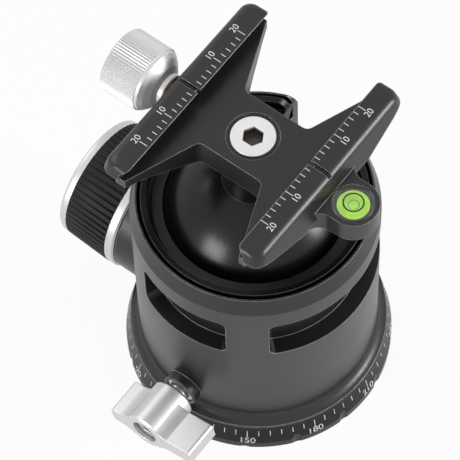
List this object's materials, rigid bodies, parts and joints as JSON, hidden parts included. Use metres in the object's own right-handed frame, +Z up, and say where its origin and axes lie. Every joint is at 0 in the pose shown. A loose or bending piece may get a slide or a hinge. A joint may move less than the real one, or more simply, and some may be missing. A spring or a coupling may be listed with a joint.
{
  "type": "tripod ball head",
  "caption": "Compact tripod ball head: black body with drop notch, glossy ball, screw clamp for dovetail plates, ribbed lock knob, winged pan lock and round level.",
  "frame": {"origin": "centre of the base's underside, at the mouth of the tripod thread", "axes": "+Z up along the pan axis, -X out along the main lock knob and the clamp knob, -Y out along the pan lock knob, +Y through the drop notch"},
  "size_m": [0.0918, 0.0869, 0.1094],
  "materials": {
    "black_anodised": "satin black anodised",
    "ball_black": "glossy black anodised",
    "dark_race": "dark bearing polymer",
    "knob_silver": "satin silver anodised",
    "cup_alloy": "machined",
    "grip_rubber": "matte ribbed",
    "steel": "machined",
    "bronze": "sintered bearing bronze",
    "polymer": "low-friction bearing polymer",
    "vial_clear": "clear acrylic",
    "vial_green": "green level fluid",
    "vial_mark": "black centring ring",
    "marking_white": "white paint in engraved marks"
  },
  "bodies": {
    "base": {"base_plate": "black_anodised", "thread_bushing": "steel", "pan_hub": "steel", "hub_screws": "steel", "thrust_washer": "polymer"},
    "housing": {"housing": "black_anodised", "seat_ring": "black_anodised", "top_race": "dark_race", "guide_plate": "steel", "guide_screws": "steel", "lock_bushing": "bronze", "pan_insert": "steel"},
    "pressure_cup": {"pressure_cup": "cup_alloy", "cup_liner": "polymer"},
    "lock_wedge": {"lock_wedge": "steel"},
    "main_knob": {"lock_spindle": "steel", "spindle_clip": "steel", "knob_core": "knob_silver", "knob_grip": "grip_rubber", "knob_cap": "knob_silver", "knob_screw": "steel"},
    "pan_brake": {"pan_pad": "polymer"},
    "pan_knob": {"pan_stud": "steel", "wing_knob": "knob_silver", "wing_screw": "steel"},
    "ball": {"ball": "ball_black"},
    "clamp": {"clamp_plate": "black_anodised", "stem_bolt": "steel", "jaw_springs": "steel", "vial_case": "vial_clear", "vial_fluid": "vial_green", "vial_ring": "vial_mark"},
    "jaw": {"movable_jaw": "black_anodised", "guide_pins": "steel"},
    "clamp_knob": {"clamp_screw": "steel", "clamp_washer": "steel", "clamp_knob": "knob_silver"}
  },
  "joints": [
    {"name": "pan_turn", "type": "hinge", "parent": "base", "child": "housing", "pos_m": [0, 0, 0.0092], "axis": [0, 0, 1], "continuous": true},
    {"name": "main_knob_turn", "type": "hinge", "parent": "housing", "child": "main_knob", "pos_m": [-0.04, 0, 0.029], "axis": [-1, 0, 0], "range_deg": [0, 330]},
    {"name": "wedge_slide", "type": "slide", "parent": "housing", "child": "lock_wedge", "axis": [1, 0, 0], "range_m": [0, 0.00137]},
    {"name": "cup_slide", "type": "slide", "parent": "housing", "child": "pressure_cup", "axis": [0, 0, -1], "range_m": [0, 0.00028]},
    {"name": "pan_brake_slide", "type": "slide", "parent": "housing", "child": "pan_brake", "axis": [0, -1, 0], "range_m": [0, 0.000749]},
    {"name": "pan_knob_turn", "type": "hinge", "parent": "pan_brake", "child": "pan_knob", "pos_m": [0, -0.043, 0.018], "axis": [0, -1, 0], "range_deg": [0, 270]},
    {"name": "ball_tilt", "type": "hinge", "parent": "housing", "child": "ball", "pos_m": [0, 0, 0.0599], "axis": [-1, 0, 0], "range_deg": [-40, 86]},
    {"name": "ball_spin", "type": "hinge", "parent": "ball", "child": "clamp", "pos_m": [0, 0, 0.0599], "axis": [0, 0, 1], "continuous": true},
    {"name": "jaw_slide", "type": "slide", "parent": "clamp", "child": "jaw", "axis": [-1, 0, 0], "range_m": [0, 0.00499]},
    {"name": "clamp_knob_turn", "type": "hinge", "parent": "jaw", "child": "clamp_knob", "pos_m": [-0.036, 0, 0.1004], "axis": [-1, 0, 0], "range_deg": [0, 1800]}
  ],
  "couplings": [
    {"joint": "main_knob_turn", "follows": "wedge_slide", "rad_per_m": 4188.8},
    {"joint": "cup_slide", "follows": "wedge_slide", "ratio": 0.2},
    {"joint": "pan_knob_turn", "follows": "pan_brake_slide", "rad_per_m": 6283.2},
    {"joint": "clamp_knob_turn", "follows": "jaw_slide", "rad_per_m": 6283.2}
  ]
}
